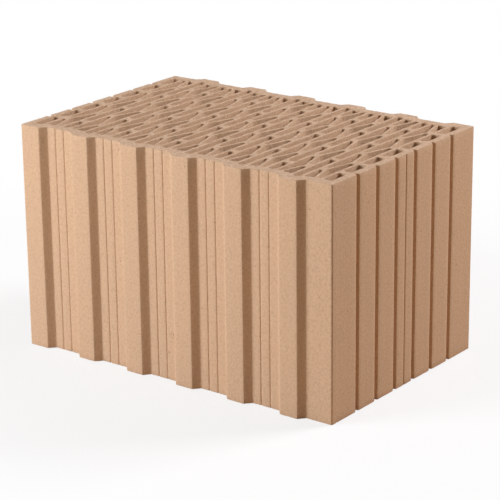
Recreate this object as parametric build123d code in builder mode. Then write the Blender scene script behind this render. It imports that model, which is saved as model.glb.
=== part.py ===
from build123d import *
import os
from math import dist, hypot

# One fired clay wall block, standing as it is laid: holes upright, beds level.
# X runs along the long ribbed sides, Y through the block from the front ribs
# to the back ribs, Z up. The origin is under the middle of the block.
# Half a turn about Z gives the same block again.

block_length = 380.0        # X, between the two plain ends
body_depth = 248.0          # Y, from a recess to the rib faces of the other side
block_height = 238.0        # Z, between the two beds
rib_height = 7.0            # how far the interlocking ribs stand out

# Straight columns of slots, and between each two a zigzag web with tapered holes
# on both its sides
column_count = 12
end_margin = 14.0           # plain end to the middle of its column
slot_width = 7.5
straight_web = 3.8
cross_web = 6.0             # between the slots of one column

# Rows: the levels of the cross webs and of the bends of the zigzag webs
row_count = 8
row_in_shell = 3.4          # the outermost rows lie this deep in the side shells
zigzag_web = 3.3
bend_offset = 4.25          # from a straight web to the middle of a bend beside it
bend_web = 8.6              # joins a bend to its straight web

# Shells
side_shell = 10.5           # between a recess and the first hole
rib_shell = 12.8            # between a rib face and the slot behind it
end_shell = 8.5             # between a plain end and its slots
end_web = 6.0               # between the short slots of an end

slot_radius = 3.4
corner_flat = 2.0           # blunts the corners of the tapered holes

# Ribs of the long sides
rib_width = 20.4            # flat outer face of a rib
rib_flank = 6.0             # what a sloping flank takes along X
corner_rib = 24.2           # the rib at the corner is wider
block_corner_radius = 2.0

# Thin score lines, two in each recess and one down the middle of each end
score_width = 1.8
score_depth = 1.0
score_spacing = 11.0

# Grooves of the plain ends
groove_count = 6
groove_pitch = 32.7
groove_width = 5.0          # at the face
groove_floor = 4.0
groove_depth = 3.4

half_length = block_length / 2
half_depth = (body_depth + rib_height) / 2
recess_plane = half_depth - rib_height
hole_limit = recess_plane - side_shell
rib_hole_limit = half_depth - rib_shell
column_pitch = (block_length - 2 * end_margin) / (column_count - 1)
row_pitch = 2 * (hole_limit + row_in_shell) / (row_count - 1)
column_half = slot_width / 2 + straight_web


def column_x(column):
    return end_margin - half_length + column * column_pitch


def row_y(row):
    return row * row_pitch - hole_limit - row_in_shell


def score(x, y):
    return [(x - score_width / 2, y), (x, y + score_depth), (x + score_width / 2, y)]


def front_side():
    # from the left corner to the right corner along the front
    points = [(-half_length, -half_depth)]
    rib_right = corner_rib - half_length
    for column in range(0, column_count, 2):
        if column > 0:
            rib_left = column_x(column) - rib_width / 2
            rib_right = column_x(column) + rib_width / 2
            points += [(rib_left - rib_flank, -recess_plane), (rib_left, -half_depth)]
        points += [(rib_right, -half_depth), (rib_right + rib_flank, -recess_plane)]
        if column < column_count - 2:
            middle = column_x(column + 1)
            points += score(middle - score_spacing / 2, -recess_plane)
            points += score(middle + score_spacing / 2, -recess_plane)
    return points


def right_end():
    # from the front corner to the back corner along the end at +X
    middle = rib_height / 2
    points = [(half_length, -recess_plane)]
    for number in range(groove_count):
        if number == groove_count // 2:
            points += [(half_length - y, middle + x) for x, y in score(0, 0)]
        y = middle + groove_pitch * (number - (groove_count - 1) / 2)
        points += [(half_length, y - groove_width / 2)]
        points += [(half_length - groove_depth, y - groove_floor / 2)]
        points += [(half_length - groove_depth, y + groove_floor / 2)]
        points += [(half_length, y + groove_width / 2)]
    return points


def slots(column):
    # left, right, front and back of every slot of one straight column
    at_end = column in (0, column_count - 1)
    left = column_x(column) - slot_width / 2
    right = column_x(column) + slot_width / 2
    gap = cross_web
    if at_end:
        gap = end_web
    if column == 0:
        left = end_shell - half_length
    if column == column_count - 1:
        right = half_length - end_shell
    front, back = -hole_limit, rib_hole_limit
    if column % 2 == 0:
        front, back = -rib_hole_limit, hole_limit
    found = []
    for row in range(1, row_count - 1):
        if at_end or (row + column) % 2 == 0:
            found.append((left, right, front, row_y(row) - gap / 2))
            front = row_y(row) + gap / 2
    found.append((left, right, front, back))
    return found


def tapered(column, row):
    # the hole beside a zigzag web that is widest at one row, where the web bends away
    left = column_x(column) + column_half
    right = column_x(column + 1) - column_half
    slope = (right - left - 2 * bend_offset) / row_pitch
    half_web = zigzag_web / 2 * hypot(1, slope)
    narrow = bend_offset + bend_web / 2 * slope - half_web
    wide = right - left - bend_offset - half_web
    low = row_y(row) - row_pitch + bend_web / 2
    high = row_y(row) + row_pitch - bend_web / 2
    wall, across = right, -1
    if (row + column) % 2 == 0:
        wall, across = left, 1
    narrow_x, wide_x = wall + across * narrow, wall + across * wide
    return [(wall, low), (narrow_x, low), (wide_x, row_y(row)), (narrow_x, high), (wall, high)]


def between_shells(points):
    # what is left of a hole between the front and the back shell
    for side in (-1, 1):
        kept = []
        for number, (x, y) in enumerate(points):
            last_x, last_y = points[number - 1]
            if (side * y > hole_limit) != (side * last_y > hole_limit):
                share = (side * hole_limit - last_y) / (y - last_y)
                kept.append((last_x + share * (x - last_x), side * hole_limit))
            if side * y <= hole_limit:
                kept.append((x, y))
        points = kept
    return points


def blunted(points):
    # each corner that is sharper than about 130 degrees is cut square to its middle
    cut = []
    for number, (x, y) in enumerate(points):
        before, after = points[number - 1], points[(number + 1) % len(points)]
        sides = [dist((x, y), before), dist((x, y), after)]
        ahead = [((end[0] - x) / side, (end[1] - y) / side) for end, side in zip((before, after), sides)]
        spread = dist(ahead[0], ahead[1])
        if spread > 1.8:
            cut.append((x, y))
        else:
            back = corner_flat / spread
            cut += [(x + back * along_x, y + back * along_y) for along_x, along_y in ahead]
    return cut


outline = front_side() + right_end()
outline += [(-x, -y) for x, y in outline]

with BuildPart() as clay_block:
    with BuildSketch() as section:
        with BuildLine():
            Polyline(*outline, close=True)
        make_face()
        corners = [
            v for v in section.vertices()
            if abs(v.X) > half_length - 0.01 and abs(v.Y) > recess_plane - 0.01
        ]
        fillet(corners, block_corner_radius)
    extrude(amount=block_height)

    with BuildSketch():
        for column in range(column_count):
            for left, right, front, back in slots(column):
                radius = min(slot_radius, 0.48 * (right - left))
                with Locations(((left + right) / 2, (front + back) / 2)):
                    RectangleRounded(right - left, back - front, radius)
    extrude(amount=block_height, mode=Mode.SUBTRACT)

    with BuildSketch():
        for column in range(column_count - 1):
            for row in range(row_count):
                with BuildLine():
                    Polyline(*blunted(between_shells(tapered(column, row))), close=True)
                make_face()
    extrude(amount=block_height, mode=Mode.SUBTRACT)

clay_block.part.label = "clay_block"
os.makedirs("parts", exist_ok=True)
export_step(clay_block.part, "parts/clay_block.step")
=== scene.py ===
import math
import random

import bmesh
import bpy
import numpy as np
from mathutils import Matrix, Vector, kdtree, noise
from mathutils.geometry import delaunay_2d_cdt


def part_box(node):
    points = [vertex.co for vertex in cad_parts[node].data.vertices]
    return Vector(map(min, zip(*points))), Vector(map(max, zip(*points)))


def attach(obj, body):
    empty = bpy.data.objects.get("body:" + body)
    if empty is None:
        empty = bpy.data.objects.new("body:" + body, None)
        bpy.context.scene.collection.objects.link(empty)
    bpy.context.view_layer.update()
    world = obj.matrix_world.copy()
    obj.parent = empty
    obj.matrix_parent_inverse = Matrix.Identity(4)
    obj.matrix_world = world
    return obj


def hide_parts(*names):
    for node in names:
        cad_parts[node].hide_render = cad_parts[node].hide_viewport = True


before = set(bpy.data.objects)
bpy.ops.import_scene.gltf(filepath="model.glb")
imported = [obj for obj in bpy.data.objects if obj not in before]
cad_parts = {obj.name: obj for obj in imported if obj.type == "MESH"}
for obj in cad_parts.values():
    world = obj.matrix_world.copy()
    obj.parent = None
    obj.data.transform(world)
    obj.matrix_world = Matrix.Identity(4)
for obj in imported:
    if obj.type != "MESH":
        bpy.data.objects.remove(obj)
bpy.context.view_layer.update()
print("stage: frame loaded")

# a fired clay wall block standing on a white table, holes upright
# lengths are metres, angles degrees

body = {
    "node": "clay_block",
    "rimRound": 0.0006,           # worn edge around both beds and every hole
    "rimMiddle": 0.3,             # its middle lies this far in and down, as a share of it
    "outerChipping": 0.35,        # how unevenly it is worn outside
    "holeChipping": 0.75,         # and at the holes
    "chipDrop": 0.0005,           # its worst places lie this far below the bed
    "fineChips": (190, 1.6),      # pattern scale and weight
    "broadChips": (45, 0.5),
    "arris": 0.0010,              # softened rib edges
    "arrisShare": 0.35,           # at most this share of a side goes into one
    "softFrom": 22,               # corners that turn less than this stay as they are
    "outerStep": 0.0032,          # spacing of points along the outside
    "holeStep": 0.0060,           # and along the webs
    "bedStep": 0.0034,            # and across the cut beds
    "bedStray": 0.35,             # how far these stray, in steps
    "bedMargin": 0.0009,          # and how far they keep from the rims
    "outerLevels": 22,            # rings of points up the outside
    "holeLevels": 7,              # and up each hole
    "nearBeds": 0.55,             # how strongly these crowd towards the beds
    "faceWobble": (22, 0.00016),  # scale and size: the clay drags a little in the die
    "faceSink": 0.8,              # most of it goes inwards, so that the block keeps its size
    "webWobble": (38, 0.00028),
    "webRipple": (110, 0.00014),
    "drawnOut": 0.12,             # these three are longer along the holes
    "bedRough": (190, 0.00040),   # scale and depth of the torn beds
    "bedSink": 0.45,              # sets most of that roughness below the rims
    "smoothBelow": 38,            # edges that turn less are shaded smooth
    "seed": 7,
}


def rimLoops(node, top):
    # the closed outlines around the upper bed of the solid, the outer one first
    bm = bmesh.new()
    bm.from_mesh(node.data)
    bmesh.ops.remove_doubles(bm, verts=bm.verts, dist=1e-6)
    links = {}
    for edge in bm.edges:
        if min(v.co.z for v in edge.verts) < top - 1e-5:
            continue
        upright = [f for f in edge.link_faces if abs(f.normal.z) < 0.5]
        if len(upright) == 1:
            a, b = edge.verts
            links.setdefault(a.index, []).append(b.index)
            links.setdefault(b.index, []).append(a.index)
    bm.verts.ensure_lookup_table()
    loops, seen = [], set()
    for start in sorted(links):
        if start in seen:
            continue
        chain, here, last = [], start, None
        while here not in seen:
            seen.add(here)
            chain.append((bm.verts[here].co.x, bm.verts[here].co.y))
            ahead = [n for n in links[here] if n != last]
            last, here = here, ahead[0]
        loops.append(np.array(chain))
    bm.free()
    loops.sort(key=lambda pts: -np.ptp(pts[:, 0]))
    return loops


def turnArea(points):
    # positive where the points go round to the left
    nextPoints = np.roll(points, -1, axis=0)
    return 0.5 * np.sum(points[:, 0] * nextPoints[:, 1] - nextPoints[:, 0] * points[:, 1])


def softenCorners(points, spec):
    # each sharp corner becomes a short arc of three points
    radius, share = spec["arris"], spec["arrisShare"]
    out = []
    count = len(points)
    for i in range(count):
        before, here, after = points[i - 1], points[i], points[(i + 1) % count]
        a, b = before - here, after - here
        la, lb = np.linalg.norm(a), np.linalg.norm(b)
        bend = math.pi - math.acos(max(-1.0, min(1.0, float(a @ b) / (la * lb))))
        if bend < math.radians(spec["softFrom"]):
            out.append(here)
            continue
        cut = min(radius * math.tan(bend / 2), share * la, share * lb)
        p, q = here + a / la * cut, here + b / lb * cut
        out += [p, 0.25 * (p + q) + 0.5 * here, q]
    return np.array(out)


def spacedPoints(points, step):
    out = []
    for i in range(len(points)):
        a, b = points[i], points[(i + 1) % len(points)]
        parts = max(1, int(round(np.linalg.norm(b - a) / step)))
        for k in range(parts):
            out.append(a + (b - a) * k / parts)
    return np.array(out)


def outwardNormals(points):
    # pointing out of the clay, for outlines that keep the clay on their left
    ahead = np.roll(points, -1, axis=0) - points
    ahead /= np.linalg.norm(ahead, axis=1)[:, None]
    mean = ahead + np.roll(ahead, 1, axis=0)
    mean /= np.maximum(np.linalg.norm(mean, axis=1)[:, None], 1e-9)
    return np.stack([mean[:, 1], -mean[:, 0]], axis=1)


def readOutlines(spec, top):
    # the outside runs left round the clay, every hole right
    outer, *holes = rimLoops(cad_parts[spec["node"]], top)
    if turnArea(outer) < 0:
        outer = outer[::-1]
    outlines = [spacedPoints(softenCorners(outer, spec), spec["outerStep"])]
    for hole in holes:
        if turnArea(hole) > 0:
            hole = hole[::-1]
        outlines.append(spacedPoints(hole, spec["holeStep"]))
    return outlines


def ringLevels(spec, height, count):
    # inset and height of each ring of points from bed to bed, rounded at both rims
    rim = spec["rimRound"]
    middle = spec["rimMiddle"] * rim
    t = np.linspace(0.0, 1.0, count + 1)
    eased = 0.5 - 0.5 * np.cos(math.pi * t)
    crowd = spec["nearBeds"]
    levels = rim + (height - 2 * rim) * ((1 - crowd) * t + crowd * eased)
    rings = [(rim, 0.0), (middle, middle)]
    rings += [(0.0, z) for z in levels]
    return rings + [(middle, height - middle), (rim, height)]


def chipAt(spec, x, y, upper):
    # -1 where an edge is still sharp, 1 where it is worn away most
    side = 4.0 if upper else 9.0    # another pattern on each bed
    chip = 0.0
    for scale, weight in (spec["fineChips"], spec["broadChips"]):
        chip += weight * noise.noise(Vector((x * scale, y * scale, side)))
    return max(-1.0, min(1.0, chip))


def drift(spec, x, y, z, wobble):
    scale, size = wobble
    return size * noise.noise(Vector((x * scale, y * scale, z * scale * spec["drawnOut"])))


def outerDrift(spec, x, y, z):
    return drift(spec, x, y, z, spec["faceWobble"]) - spec["faceSink"] * spec["faceWobble"][1]


def holeDrift(spec, x, y, z):
    # each pattern is read from a place of its own
    wobble = drift(spec, x + 3, y, z, spec["webWobble"])
    return wobble + drift(spec, x, y + 5, z, spec["webRipple"])


def addWall(verts, faces, outline, rings, spec, outside, bottom):
    # one upright wall, outer or around a hole; gives its lowest and highest ring
    height = rings[-1][1]
    normals = outwardNormals(outline)
    chipping = spec["outerChipping"] if outside else spec["holeChipping"]
    strayed = outerDrift if outside else holeDrift
    made = []
    for inset, z in rings:
        upper = z > height / 2
        start = len(verts)
        for (x, y), (nx, ny) in zip(outline, normals):
            chip = chipAt(spec, x, y, upper) if inset else 0.0
            move = strayed(spec, x, y, z) - inset * (1 + chipping * chip)
            drop = spec["chipDrop"] * max(0.0, chip) * inset / spec["rimRound"]
            level = z - drop if upper else z + drop
            verts.append((x + nx * move, y + ny * move, bottom + level))
        made.append(list(range(start, len(verts))))
    for below, above in zip(made, made[1:]):
        for i in range(len(below)):
            j = (i + 1) % len(below)
            faces.append((below[i], below[j], above[j], above[i]))
    return made[0], made[-1]


def insideOutline(points, outline):
    # for many points at once, which of them lie inside one closed outline
    px, py = points[:, 0][:, None], points[:, 1][:, None]
    ax, ay = outline[:, 0], outline[:, 1]
    bx, by = np.roll(ax, -1), np.roll(ay, -1)
    rise = np.where(np.abs(by - ay) < 1e-12, 1e-12, by - ay)
    crosses = ((ay > py) != (by > py)) & (px < ax + (py - ay) * (bx - ax) / rise)
    return crosses.sum(axis=1) % 2 == 1


def inClay(points, outlines):
    # inside the outer outline and in none of the holes
    inside = insideOutline(points, outlines[0])
    for hole in outlines[1:]:
        low, high = hole.min(axis=0), hole.max(axis=0)
        near = np.where(np.all((points > low) & (points < high), axis=1))[0]
        if len(near):
            inside[near[insideOutline(points[near], hole)]] = False
    return inside


def rimTree(rims):
    # finds how far a point is from the nearest rim, each edge of it taken in four parts
    parts = 4
    tree = kdtree.KDTree(parts * sum(len(flat) for flat in rims))
    for flat in rims:
        ahead = np.roll(flat, -1, axis=0)
        for part in range(parts):
            for x, y in flat + (ahead - flat) * part / parts:
                tree.insert((x, y, 0.0), 0)
    tree.balance()
    return tree


def loosePoints(rims, spec, rng):
    # a shaken grid over the webs and shells, clear of the rims
    step, stray = spec["bedStep"], spec["bedStray"]
    low, high = rims[0].min(axis=0), rims[0].max(axis=0)
    loose = []
    for x in np.arange(low[0], high[0], step):
        for y in np.arange(low[1], high[1], step):
            shakenX = x + rng.uniform(-stray, stray) * step
            shakenY = y + rng.uniform(-stray, stray) * step
            loose.append((shakenX, shakenY))
    loose = np.array(loose)
    tree = rimTree(rims)
    inside = loose[inClay(loose, rims)]
    return [(x, y) for x, y in inside if tree.find((x, y, 0.0))[2] > spec["bedMargin"]]


def addBed(verts, faces, rings, spec, rng, upper):
    # a cut bed: triangles between the rims, with loose points across the webs
    points, owner, edges, rims = [], [], [], []
    for ring in rings:
        start = len(points)
        points += [Vector(verts[k][:2]) for k in ring]
        owner += ring
        edges += [(start + i, start + (i + 1) % len(ring)) for i in range(len(ring))]
        rims.append(np.array([verts[k][:2] for k in ring]))
    for x, y in loosePoints(rims, spec, rng):
        points.append(Vector((x, y)))
        owner.append(None)

    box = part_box(spec["node"])
    bedZ = box[1].z if upper else box[0].z
    scale, depth = spec["bedRough"]
    side = bedZ * 9                 # another pattern on each bed
    outPoints, _, outFaces, origins = delaunay_2d_cdt(points, edges, [], 0, 1e-7)[:4]
    index = []
    for co, source in zip(outPoints, origins):
        kept = [owner[k] for k in source if owner[k] is not None]
        if kept:
            index.append(kept[0])
            continue
        pattern = noise.noise(Vector((co.x * scale, co.y * scale, side)))
        rough = depth * min(0.0, pattern - spec["bedSink"])
        index.append(len(verts))
        verts.append((co.x, co.y, bedZ + (rough if upper else -rough)))
    flat = np.array([co[:] for co in outPoints])
    corners = np.array(outFaces)
    for face in corners[inClay(flat[corners].mean(axis=1), rims)]:
        a, b, c = flat[face]
        turn = (b[0] - a[0]) * (c[1] - a[1]) - (b[1] - a[1]) * (c[0] - a[0])
        ordered = [index[k] for k in face]
        if (turn > 0) != upper:
            ordered.reverse()
        faces.append(tuple(ordered))


def buildBlock(spec):
    low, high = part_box(spec["node"])
    outlines = readOutlines(spec, high.z)
    print("stage:", len(outlines) - 1, "holes read from the frame")

    verts, faces = [], []
    lowRims, highRims = [], []
    for number, outline in enumerate(outlines):
        outside = number == 0
        levels = spec["outerLevels"] if outside else spec["holeLevels"]
        rings = ringLevels(spec, high.z - low.z, levels)
        lowRim, highRim = addWall(verts, faces, outline, rings, spec, outside, low.z)
        lowRims.append(lowRim)
        highRims.append(highRim)
        if outside:
            outerCount = len(faces)
    wallCount = len(faces)
    rng = random.Random(spec["seed"])
    addBed(verts, faces, lowRims, spec, rng, False)
    addBed(verts, faces, highRims, spec, rng, True)
    print("stage: block mesh,", len(verts), "points,", len(faces), "faces")

    mesh = bpy.data.meshes.new("clayBody")
    mesh.from_pydata(verts, [], faces)
    mesh.validate()
    piece = bpy.data.objects.new("clayBody", mesh)
    bpy.context.scene.collection.objects.link(piece)
    for material in (extrudedClay(outerSand), extrudedClay(holeSand), cutClay(cutBed)):
        mesh.materials.append(material)
    for polygon in mesh.polygons:
        polygon.material_index = int(polygon.index >= outerCount) + int(polygon.index >= wallCount)
        polygon.use_smooth = True
    mesh.set_sharp_from_angle(angle=math.radians(spec["smoothBelow"]))
    return piece


# colours and gloss of the fired clay, with a dark brown painted into the pore dents as painted
# shade
clayLook = {
    "skin": (0.690, 0.474, 0.323),
    "skinDark": (0.640, 0.430, 0.282),
    "skinWarm": (0.695, 0.464, 0.303),
    "sandDark": (0.480, 0.308, 0.192),
    "sandPale": (0.780, 0.565, 0.415),
    # painted shade: the dark brown painted into the pore dents
    "paintedPitShade": (0.38, 0.22, 0.13),
    "cut": (0.790, 0.560, 0.400),
    "cutDark": (0.560, 0.365, 0.235),
    "crumb": (0.860, 0.660, 0.500),
    "roughness": 0.95,
    "gloss": 0.25,
}

# each pattern: how fine it is along x, y and z, its detail and its roughness
# each range: where in the pattern a colour or a dent starts, and where it is full
skinPattern = {
    "lines": ((420, 420, 3), 4, 0.6),       # along the way the clay left the die
    "broad": ((22, 22, 9), 3, 0.5),
    "sand": ((480, 480, 400), 3, 0.8),
    "grain": ((1500, 1500, 1500), 3, 0.75),
    "pores": ((330, 330, 250), 1, 0.5),
    "paleLines": (0.2, 0.8),
    "warmPlaces": (0.45, 0.8),
    "darkGrain": (0.60, 0.30),
    # painted shade in the pore dents: where the dark brown starts and where it is full
    "paintedPitShadeRange": (0.765, 0.82),
    "dents": (0.82, 0.74),
    "lineHeight": 0.25,
    "grainHeight": 0.4,
    "dentHeight": 0.8,
    "bump": (0.0005, 0.8),                  # distance and strength
}
# more sand shows in the holes than outside
outerSand = {"name": "outerClay", "dark": (0.54, 0.28), "pale": (0.58, 0.80), "height": 1.2}
holeSand = {"name": "holeClay", "dark": (0.60, 0.36), "pale": (0.56, 0.72), "height": 2.4}

cutBed = {
    "name": "cutClay",
    "drag": ((60, 900, 60), 4, 0.6),        # marks of the wire
    "grain": ((900, 900, 900), 5, 0.7),
    "crumbs": ((330, 330, 330), 3, 0.7),
    "paleGrain": (0.30, 0.62),
    "darkCrumbs": (0.52, 0.30),
    "paleCrumbs": (0.55, 0.75),
    "dragHeight": 0.4,
    "grainHeight": 0.8,
    "crumbHeight": 1.2,
    "bump": (0.0008, 0.9),
}


def colour(rgb):
    return (rgb[0], rgb[1], rgb[2], 1.0)


def emptyMaterial(name):
    material = bpy.data.materials.new(name)
    material.use_nodes = True
    tree = material.node_tree
    tree.nodes.clear()
    return material, tree, tree.nodes.new("ShaderNodeOutputMaterial")


def clayMaterial(name):
    material, tree, output = emptyMaterial(name)
    shader = tree.nodes.new("ShaderNodeBsdfPrincipled")
    tree.links.new(shader.outputs["BSDF"], output.inputs["Surface"])
    shader.inputs["Roughness"].default_value = clayLook["roughness"]
    shader.inputs["Specular IOR Level"].default_value = clayLook["gloss"]
    return material, tree, shader


def patternOf(tree, scale, detail, rough):
    where = tree.nodes.new("ShaderNodeTexCoord")
    mapping = tree.nodes.new("ShaderNodeMapping")
    mapping.inputs["Scale"].default_value = scale
    tree.links.new(where.outputs["Object"], mapping.inputs["Vector"])
    texture = tree.nodes.new("ShaderNodeTexNoise")
    texture.inputs["Scale"].default_value = 1.0
    texture.inputs["Detail"].default_value = detail
    texture.inputs["Roughness"].default_value = rough
    tree.links.new(mapping.outputs["Vector"], texture.inputs["Vector"])
    return texture.outputs["Fac"]


def ramp(tree, source, start, full):
    node = tree.nodes.new("ShaderNodeMapRange")
    node.inputs["From Min"].default_value = start
    node.inputs["From Max"].default_value = full
    tree.links.new(source, node.inputs["Value"])
    return node.outputs["Result"]


def mixed(tree, factor, first, second):
    # colours or sockets, blended by a factor
    node = tree.nodes.new("ShaderNodeMix")
    node.data_type = "RGBA"
    tree.links.new(factor, node.inputs[0])
    for socket, value in ((node.inputs[6], first), (node.inputs[7], second)):
        if isinstance(value, tuple):
            socket.default_value = colour(value)
        else:
            tree.links.new(value, socket)
    return node.outputs[2]


def calculated(tree, operation, first, second):
    node = tree.nodes.new("ShaderNodeMath")
    node.operation = operation
    for socket, value in zip(node.inputs, (first, second)):
        if isinstance(value, float):
            socket.default_value = value
        else:
            tree.links.new(value, socket)
    return node.outputs[0]


def bumped(tree, shader, parts, distance, strength):
    # parts: patterns and how high each one stands
    height = None
    for source, weight in parts:
        part = calculated(tree, "MULTIPLY", source, weight)
        height = part if height is None else calculated(tree, "ADD", height, part)
    bump = tree.nodes.new("ShaderNodeBump")
    bump.inputs["Distance"].default_value = distance
    bump.inputs["Strength"].default_value = strength
    tree.links.new(height, bump.inputs["Height"])
    tree.links.new(bump.outputs["Normal"], shader.inputs["Normal"])


def extrudedClay(sandSpec):
    # fine sandy skin with faint lines along the way it left the die
    material, tree, shader = clayMaterial(sandSpec["name"])
    look, spec = clayLook, skinPattern
    lines = patternOf(tree, *spec["lines"])
    broad = patternOf(tree, *spec["broad"])
    sand = patternOf(tree, *spec["sand"])
    grain = patternOf(tree, *spec["grain"])
    pores = patternOf(tree, *spec["pores"])
    tone = mixed(tree, ramp(tree, lines, *spec["paleLines"]), look["skinDark"], look["skin"])
    tone = mixed(tree, ramp(tree, broad, *spec["warmPlaces"]), tone, look["skinWarm"])
    tone = mixed(tree, ramp(tree, sand, *sandSpec["dark"]), tone, look["sandDark"])
    tone = mixed(tree, ramp(tree, sand, *sandSpec["pale"]), tone, look["sandPale"])
    tone = mixed(tree, ramp(tree, grain, *spec["darkGrain"]), tone, look["skinDark"])
    # painted shade: the pore dents are painted dark brown, where the dents below sink the surface
    tone = mixed(tree, ramp(tree, pores, *spec["paintedPitShadeRange"]), tone, look["paintedPitShade"])
    tree.links.new(tone, shader.inputs["Base Color"])
    parts = [
        (lines, spec["lineHeight"]),
        (sand, sandSpec["height"]),
        (grain, spec["grainHeight"]),
        (ramp(tree, pores, *spec["dents"]), spec["dentHeight"]),
    ]
    bumped(tree, shader, parts, *spec["bump"])
    return material


def cutClay(spec):
    # torn by the wire: rougher, with crumbs and small pits
    material, tree, shader = clayMaterial(spec["name"])
    look = clayLook
    drag = patternOf(tree, *spec["drag"])
    grain = patternOf(tree, *spec["grain"])
    crumbs = patternOf(tree, *spec["crumbs"])
    tone = mixed(tree, ramp(tree, grain, *spec["paleGrain"]), look["cutDark"], look["cut"])
    tone = mixed(tree, ramp(tree, crumbs, *spec["darkCrumbs"]), tone, look["cutDark"])
    tone = mixed(tree, ramp(tree, crumbs, *spec["paleCrumbs"]), tone, look["crumb"])
    tree.links.new(tone, shader.inputs["Base Color"])
    parts = [
        (drag, spec["dragHeight"]),
        (grain, spec["grainHeight"]),
        (crumbs, spec["crumbHeight"]),
    ]
    bumped(tree, shader, parts, *spec["bump"])
    return material


block = buildBlock(body)
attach(block, "root")
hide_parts("clay_block")
print("stage: clay body")

# white table that fades into the white surround
table = {
    "size": 7.0,
    "gap": 0.0002,                   # below the lower bed
    "inset": 0.009,                  # the covered part ends this far inside the block's box
    "seen": (0.95, 0.95, 0.95),
    "bounce": (0.56, 0.40, 0.26),    # what it throws back, as warm as the photo's shades
    "lift": 0.75,                    # how near pure white it is beside the block
    "plainFrom": 0.25,               # pure white comes in between these distances
    "plainTo": 0.70,
}


def tablePaint(tree, spec):
    seen = tree.nodes.new("ShaderNodeLightPath").outputs["Is Camera Ray"]
    paint = tree.nodes.new("ShaderNodeBsdfDiffuse")
    tone = mixed(tree, seen, spec["bounce"], spec["seen"])
    tree.links.new(tone, paint.inputs["Color"])
    return paint.outputs[0], seen


def tableBeside(spec):
    # keeps a faint shadow and fades to pure white
    material, tree, output = emptyMaterial("tableWhite")
    paint, seen = tablePaint(tree, spec)
    plain = tree.nodes.new("ShaderNodeEmission")
    plain.inputs["Strength"].default_value = 1.0
    where = tree.nodes.new("ShaderNodeTexCoord")
    far = tree.nodes.new("ShaderNodeVectorMath")
    far.operation = "LENGTH"
    tree.links.new(where.outputs["Object"], far.inputs[0])
    fade = ramp(tree, far.outputs["Value"], spec["plainFrom"], spec["plainTo"])
    fade.node.inputs["To Min"].default_value = spec["lift"]
    mix = tree.nodes.new("ShaderNodeMixShader")
    tree.links.new(calculated(tree, "MULTIPLY", fade, seen), mix.inputs["Fac"])
    tree.links.new(paint, mix.inputs[1])
    tree.links.new(plain.outputs[0], mix.inputs[2])
    tree.links.new(mix.outputs[0], output.inputs["Surface"])
    return material


def tableUnder(spec):
    # what shows through the holes
    material, tree, output = emptyMaterial("tableUnder")
    tree.links.new(tablePaint(tree, spec)[0], output.inputs["Surface"])
    return material


def whiteTable(spec):
    # nine fields, the middle one under the block
    low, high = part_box("clay_block")
    half, inset = spec["size"] / 2, spec["inset"]
    across = (-half, low.x + inset, high.x - inset, half)
    along = (-half, low.y + inset, high.y - inset, half)
    points = [(x, y, 0.0) for y in along for x in across]
    faces = [(i, i + 1, i + 5, i + 4) for i in (0, 1, 2, 4, 5, 6, 8, 9, 10)]
    mesh = bpy.data.meshes.new("table")
    mesh.from_pydata(points, [], faces)
    mesh.materials.append(tableBeside(spec))
    mesh.materials.append(tableUnder(spec))
    mesh.polygons[len(faces) // 2].material_index = 1
    floor = bpy.data.objects.new("table", mesh)
    floor.location.z = low.z - spec["gap"]
    bpy.context.scene.collection.objects.link(floor)


whiteTable(table)

# soft studio light: a low lamp on the ribbed side, one behind the grooved end that
# rakes across the upper bed, and a faint one overhead
lamps = {
    "key": {"place": (-0.92, -1.42, 0.68), "size": 0.9, "power": 30.5, "tint": (0.98, 1.03, 1.08)},
    "back": {"place": (1.25, 1.62, 1.52), "size": 1.0, "power": 53.5, "tint": (1.01, 1.00, 1.03)},
    "overhead": {"place": (0.10, 0.10, 2.20), "size": 1.2, "power": 3.0, "tint": (1.0, 0.97, 0.95)},
}
lampAim = (0.0, 0.0, 0.12)    # the middle of the block
surround = {"strength": 0.11, "tint": (1.0, 0.72, 0.45), "seen": (1.0, 1.0, 1.0)}


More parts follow.
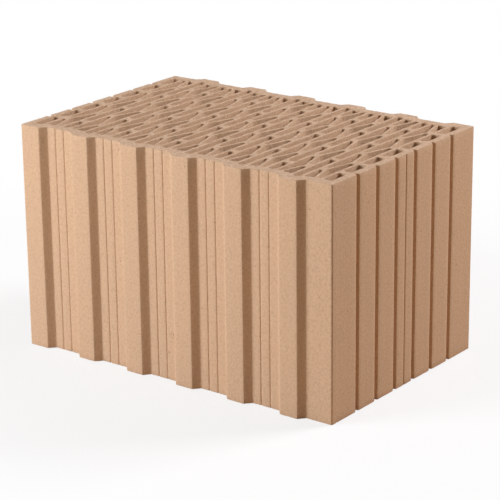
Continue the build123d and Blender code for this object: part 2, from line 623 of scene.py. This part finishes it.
def softLamp(name, spec):
    data = bpy.data.lights.new(name, "AREA")
    data.energy = spec["power"]
    data.size = spec["size"]
    data.color = spec["tint"]
    lamp = bpy.data.objects.new(name, data)
    lamp.location = spec["place"]
    aim = Vector(lampAim) - Vector(spec["place"])
    lamp.rotation_euler = aim.to_track_quat("-Z", "Y").to_euler()
    bpy.context.scene.collection.objects.link(lamp)


for lampName, lampSpec in lamps.items():
    softLamp(lampName, lampSpec)


def whiteSurround(spec):
    # white to the camera, a weak warm light to the block
    world = bpy.data.worlds.new("surround")
    bpy.context.scene.world = world
    world.use_nodes = True
    tree = world.node_tree
    tree.nodes.clear()
    output = tree.nodes.new("ShaderNodeOutputWorld")
    sky = tree.nodes.new("ShaderNodeBackground")
    sky.inputs["Strength"].default_value = spec["strength"]
    sky.inputs["Color"].default_value = colour(spec["tint"])
    white = tree.nodes.new("ShaderNodeBackground")
    white.inputs["Color"].default_value = colour(spec["seen"])
    seen = tree.nodes.new("ShaderNodeLightPath")
    mix = tree.nodes.new("ShaderNodeMixShader")
    tree.links.new(seen.outputs["Is Camera Ray"], mix.inputs["Fac"])
    tree.links.new(sky.outputs[0], mix.inputs[1])
    tree.links.new(white.outputs[0], mix.inputs[2])
    tree.links.new(mix.outputs[0], output.inputs["Surface"])


whiteSurround(surround)
print("stage: table, lamps and surround")

# the photo's viewing angle, no shift
view = {
    "place": (1.2334, -1.6143, 0.7899),
    "turn": 37.313,
    "down": 18.622,
    "roll": -0.655,
    "lens": 150.43,
    "sensor": 36.0,
    "farthest": 50.0,
}


def setCamera(spec):
    data = bpy.data.cameras.new("camera")
    data.lens = spec["lens"]
    data.sensor_width = spec["sensor"]
    data.clip_end = spec["farthest"]
    camera = bpy.data.objects.new("camera", data)
    bpy.context.scene.collection.objects.link(camera)
    turn = Matrix.Rotation(math.radians(spec["turn"]), 4, "Z")
    tilt = Matrix.Rotation(math.radians(90.0 - spec["down"]), 4, "X")
    roll = Matrix.Rotation(math.radians(spec["roll"]), 4, "Z")
    camera.matrix_world = Matrix.Translation(spec["place"]) @ turn @ tilt @ roll
    bpy.context.scene.camera = camera


setCamera(view)
bpy.context.scene.view_settings.view_transform = "Standard"
print("stage: camera")
